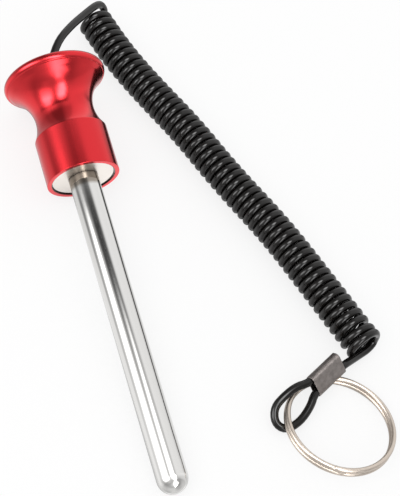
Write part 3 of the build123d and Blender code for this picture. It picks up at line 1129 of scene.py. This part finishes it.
class STACKPIN_OT_knob_shell(bpy.types.Operator):
    """Turns the flared knob, with its skirt, neck, band, rim and crown"""

    bl_idname = "stack_pin.knob_shell"
    bl_label = "Knob shell"

    def execute(self, context):
        scene = context.scene
        sizes = scene.stack_pin_knob
        pin = scene.stack_pin_pin
        skirt = sizes.skirt_diameter / 2
        waist = sizes.waist_diameter / 2
        flare = sizes.flare_diameter / 2
        rim_core = sizes.rim_diameter / 2 - sizes.rim_round
        seat = pin.magnet_diameter / 2 + pin.magnet_glue_gap
        seat_end = pin.magnet_recess + pin.magnet_thickness
        hole = sizes.cord_hole_diameter / 2
        waist_end = sizes.skirt_length + sizes.waist_run
        flare_end = waist_end + sizes.flare_run
        band_end = flare_end + sizes.band_width
        rim_place = band_end + sizes.rim_setback
        crown = knob_length(sizes)
        chamber_end = crown - sizes.crown_wall

        def neck_arc(fall, run):
            """Radius and angle of an arc that starts level and falls this far over a run."""
            reach = (fall * fall + run * run) / (2 * fall)
            return reach, math.degrees(math.asin(run / reach))

        mesh = bmesh.new()
        first = start_outline(mesh, seat, 0)
        last = line_to(mesh, first, skirt, 0)
        last = line_to(mesh, last, skirt, sizes.skirt_length)
        reach, sweep = neck_arc(skirt - waist, sizes.waist_run)
        last = arc_to(mesh, last, waist + reach, waist_end, sweep, steps=14)
        reach, sweep = neck_arc(flare - waist, sizes.flare_run)
        last = arc_to(mesh, last, waist + reach, waist_end, sweep, steps=20)
        last = line_to(mesh, last, flare + sizes.band_flare, band_end)
        rim_dip = math.degrees(math.asin(sizes.rim_setback / sizes.rim_round))
        rim_start = rim_core + math.sqrt(sizes.rim_round ** 2 - sizes.rim_setback ** 2)
        last = line_to(mesh, last, rim_start, band_end)
        last = arc_to(mesh, last, rim_core, rim_place, -rim_dip - 90, steps=18)
        dome = (rim_core ** 2 + sizes.crown_rise ** 2) / (2 * sizes.crown_rise)
        mouth = hole + sizes.cord_hole_chamfer
        lean = math.degrees(math.asin(rim_core / dome) - math.asin(mouth / dome))
        last = arc_to(mesh, last, 0, crown - dome, -lean, steps=10)
        last = line_to(mesh, last, hole, last.co.z - sizes.cord_hole_chamfer)
        last = line_to(mesh, last, hole, chamber_end)
        last = line_to(mesh, last, pin.shank_diameter / 2, chamber_end)
        last = line_to(mesh, last, pin.shank_diameter / 2, seat_end)
        last = line_to(mesh, last, seat, seat_end)
        mesh.edges.new((last, first))
        turned_solid(mesh, KNOB_STEPS)
        break_edges(mesh, sizes.edge_break, least_degrees=28)
        knob = finish_piece(
            "knob_shell", mesh, KNOB_PLACE, "selector", red_anodised_aluminium(scene), ["knob"]
        )
        # The photograph shows none of the knob's red in the cord, the pin or the knob's own neck.
        knob.visible_glossy = False
        return {"FINISHED"}


class STACKPIN_OT_selector_pin(bpy.types.Operator):
    """Turns the steel pin with its round tip and the shank in the knob"""

    bl_idname = "stack_pin.selector_pin"
    bl_label = "Selector pin"

    def execute(self, context):
        scene = context.scene
        sizes = scene.stack_pin_pin
        radius = sizes.diameter / 2
        shank = sizes.shank_diameter / 2
        mesh = bmesh.new()
        last = start_outline(mesh, 0, -sizes.reach)
        last = arc_to(mesh, last, 0, radius - sizes.reach, -90, steps=16)
        last = line_to(mesh, last, radius, sizes.magnet_recess)
        last = line_to(mesh, last, shank, sizes.magnet_recess)
        last = line_to(mesh, last, shank, sizes.magnet_recess + sizes.shank_length)
        line_to(mesh, last, 0, sizes.magnet_recess + sizes.shank_length)
        turned_solid(mesh, PIN_STEPS)
        break_edges(mesh, sizes.edge_break, least_degrees=40)
        finish_piece(
            "selector_pin", mesh, KNOB_PLACE, "selector", polished_steel(scene), ["pin"]
        )
        return {"FINISHED"}


class STACKPIN_OT_magnet_ring(bpy.types.Operator):
    """Makes the ring magnet in the skirt's end"""

    bl_idname = "stack_pin.magnet_ring"
    bl_label = "Magnet ring"

    def execute(self, context):
        scene = context.scene
        sizes = scene.stack_pin_pin
        inside = sizes.shank_diameter / 2 + sizes.magnet_shank_gap
        outside = sizes.magnet_diameter / 2
        end = sizes.magnet_recess + sizes.magnet_thickness
        mesh = bmesh.new()
        first = start_outline(mesh, inside, sizes.magnet_recess)
        last = line_to(mesh, first, outside, sizes.magnet_recess)
        last = line_to(mesh, last, outside, end)
        last = line_to(mesh, last, inside, end)
        mesh.edges.new((last, first))
        turned_solid(mesh, PIN_STEPS)
        break_edges(mesh, sizes.magnet_chamfer, least_degrees=40, segments=3)
        finish_piece(
            "magnet_ring", mesh, KNOB_PLACE, "selector", nickel_plate(scene), ["magnet"]
        )
        return {"FINISHED"}


OPERATORS = (
    STACKPIN_OT_stage,
    STACKPIN_OT_cord_stop,
    STACKPIN_OT_crimp_sleeve,
    STACKPIN_OT_split_ring,
    STACKPIN_OT_lanyard,
    STACKPIN_OT_magnet_ring,
    STACKPIN_OT_selector_pin,
    STACKPIN_OT_knob_shell,
)


class STACKPIN_PT_sidebar(bpy.types.Panel):
    """Sizes, colours and pieces of the weight stack pin"""

    bl_idname = "STACKPIN_PT_sidebar"
    bl_label = "Weight stack pin"
    bl_space_type = "VIEW_3D"
    bl_region_type = "UI"
    bl_category = "Stack pin"

    def draw(self, context):
        for operator in OPERATORS:
            self.layout.operator(operator.bl_idname)
        for group in GROUPS:
            box = self.layout.box()
            values = getattr(context.scene, group)
            for prop in values.bl_rna.properties:
                if prop.identifier not in {"rna_type", "name"}:
                    box.prop(values, prop.identifier)


CLASSES = (*GROUPS.values(), *OPERATORS, STACKPIN_PT_sidebar)


def register():
    for cls in CLASSES:
        bpy.utils.register_class(cls)
    for name, group in GROUPS.items():
        setattr(bpy.types.Scene, name, PointerProperty(type=group))


def unregister():
    for name in GROUPS:
        delattr(bpy.types.Scene, name)
    for cls in reversed(CLASSES):
        bpy.utils.unregister_class(cls)


def main():
    register()
    bpy.ops.stack_pin.stage()
    bpy.ops.stack_pin.cord_stop()
    bpy.ops.stack_pin.crimp_sleeve()
    bpy.ops.stack_pin.split_ring()
    bpy.ops.stack_pin.lanyard()
    bpy.ops.stack_pin.magnet_ring()
    bpy.ops.stack_pin.selector_pin()
    bpy.ops.stack_pin.knob_shell()


if __name__ == "__main__":
    main()
